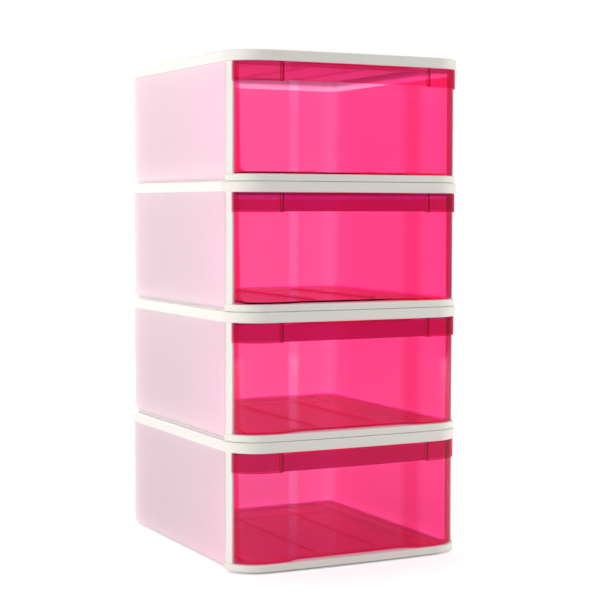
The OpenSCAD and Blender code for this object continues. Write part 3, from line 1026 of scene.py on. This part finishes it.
# %% [markdown]
# ## The studio
# A pale floor, a white surround, and soft lamps at the sides, behind and above.
# The surround and the far floor look white only to the camera, directly or
# through clear plastic, which adds next to no light to the tower. Near the
# tower the floor keeps its shadow.

# %% Floor, world and lamps
WHITE_LIGHT = (1, 1, 1, 1)
FLOOR_WHITE = (0.9, 0.9, 0.9, 1)
AROUND = 0.34
NEAR_LIFT = 0.35
LIFT_STARTS, LIFT_FULL = 0.2, 0.9
FLOOR_REACH = 30


def seen_ray(nodes, links):
    """1 where the camera sees a surface directly or through clear plastic."""
    path = nodes.new("ShaderNodeLightPath")
    return math_node(nodes, links, "MAXIMUM", path.outputs["Is Camera Ray"],
                     path.outputs["Is Transmission Ray"])


def studio_world(strength):
    """A surround that is white to look at and lights the tower less."""
    world = bpy.data.worlds.new("studio")
    world.use_nodes = True
    nodes, links = world.node_tree.nodes, world.node_tree.links
    glow = nodes["Background"]
    glow.inputs["Color"].default_value = WHITE_LIGHT
    extra = math_node(nodes, links, "MULTIPLY", seen_ray(nodes, links), 1 - strength)
    total = math_node(nodes, links, "ADD", extra, strength)
    links.new(total, glow.inputs["Strength"])
    bpy.context.scene.world = world


def studio_floor():
    """A pale floor whose far parts look white to the camera."""
    bm = bmesh.new()
    bmesh.ops.create_grid(bm, x_segments=1, y_segments=1, size=FLOOR_REACH)
    material = bpy.data.materials.new("floor_white")
    material.use_nodes = True
    nodes, links = material.node_tree.nodes, material.node_tree.links
    shader = nodes["Principled BSDF"]
    shader.inputs["Base Color"].default_value = FLOOR_WHITE
    shader.inputs["Roughness"].default_value = 0.9
    shader.inputs["Specular IOR Level"].default_value = 0
    shader.inputs["Emission Color"].default_value = WHITE_LIGHT
    place = nodes.new("ShaderNodeTexCoord")
    reach = nodes.new("ShaderNodeVectorMath")
    reach.operation = "LENGTH"
    links.new(place.outputs["Object"], reach.inputs[0])
    fade = nodes.new("ShaderNodeMapRange")
    fade.interpolation_type = "SMOOTHSTEP"
    fade.inputs["From Min"].default_value = LIFT_STARTS
    fade.inputs["From Max"].default_value = LIFT_FULL
    fade.inputs["To Min"].default_value = NEAR_LIFT
    fade.inputs["To Max"].default_value = 1
    links.new(reach.outputs["Value"], fade.inputs["Value"])
    lift = math_node(nodes, links, "MULTIPLY", seen_ray(nodes, links),
                     fade.outputs["Result"])
    links.new(lift, shader.inputs["Emission Strength"])
    floor = finished(bm, "studio_floor", [material])


def softbox(name, place, aim, width, height, power, mirrored):
    """A large area lamp that points at a place and isn't seen itself.

    One that isn't mirrored leaves no bright patch in the glossy drawers.
    """
    data = bpy.data.lights.new(name, "AREA")
    data.shape = "RECTANGLE"
    data.size, data.size_y = width, height
    data.energy = power
    lamp = bpy.data.objects.new(name, data)
    lamp.location = place
    direction = Vector(aim) - Vector(place)
    lamp.rotation_mode = "QUATERNION"
    lamp.rotation_quaternion = direction.to_track_quat("-Z", "Y")
    lamp.visible_camera = False
    lamp.visible_transmission = False
    lamp.visible_glossy = mirrored
    bpy.context.scene.collection.objects.link(lamp)


studio_world(AROUND)
studio_floor()
MIDDLE = (0, 0, 2 * PITCH)
LAMPS = {  # where it stands, its width and height, its watts
    "left_softbox": ((-2.6, -0.3, 0.65), 1.6, 1.2, 37),
    "right_softbox": ((2.4, -0.75, 0.7), 1.8, 1.3, 39),
    "back_softbox": ((0.2, 2.4, 0.7), 2.0, 1.3, 38),
    "top_softbox": ((0, 0, 2.6), 1.6, 1.6, 20),
}
MIRRORED = ("back_softbox", "top_softbox")
for name, (place, width, height, watts) in LAMPS.items():
    softbox(name, place, MIDDLE, width, height, watts, mirrored=name in MIRRORED)
print("lamps:", len(LAMPS))

# %% [markdown]
# The camera stands where the photographer's stood: in front and to the left, a
# bit above the middle of the tower. Its place was worked out from the
# photograph's own edges: where the lids' corners and the drawers' edges fall
# fixes its distance and its turn. It looks slightly down, and a small shift
# keeps the uprights nearly parallel.

# %% The camera
CAMERA_AT = (-0.90897, -1.81918, 0.43060)
CAMERA_YAW = math.radians(26.820)
CAMERA_DOWN = math.radians(1.926)
CAMERA_ROLL = math.radians(0.155)
CAMERA_LENS = 94.847
CAMERA_SHIFT_Y = -0.07


def photo_camera():
    """Puts the camera where the photographer's stood."""
    data = bpy.data.cameras.new("photo_camera")
    data.lens = CAMERA_LENS
    data.sensor_width = 36
    data.shift_y = CAMERA_SHIFT_Y
    camera = bpy.data.objects.new("photo_camera", data)
    turn = Matrix.Rotation(-CAMERA_YAW, 4, "Z")
    tilt = Matrix.Rotation(math.pi / 2 - CAMERA_DOWN, 4, "X")
    roll = Matrix.Rotation(CAMERA_ROLL, 4, "Z")
    camera.matrix_world = Matrix.Translation(CAMERA_AT) @ turn @ tilt @ roll
    bpy.context.scene.collection.objects.link(camera)
    bpy.context.scene.camera = camera


photo_camera()
print("camera", round(Vector(CAMERA_AT).length, 2), "m from the tower's foot")
bpy.context.scene.view_settings.view_transform = "Standard"
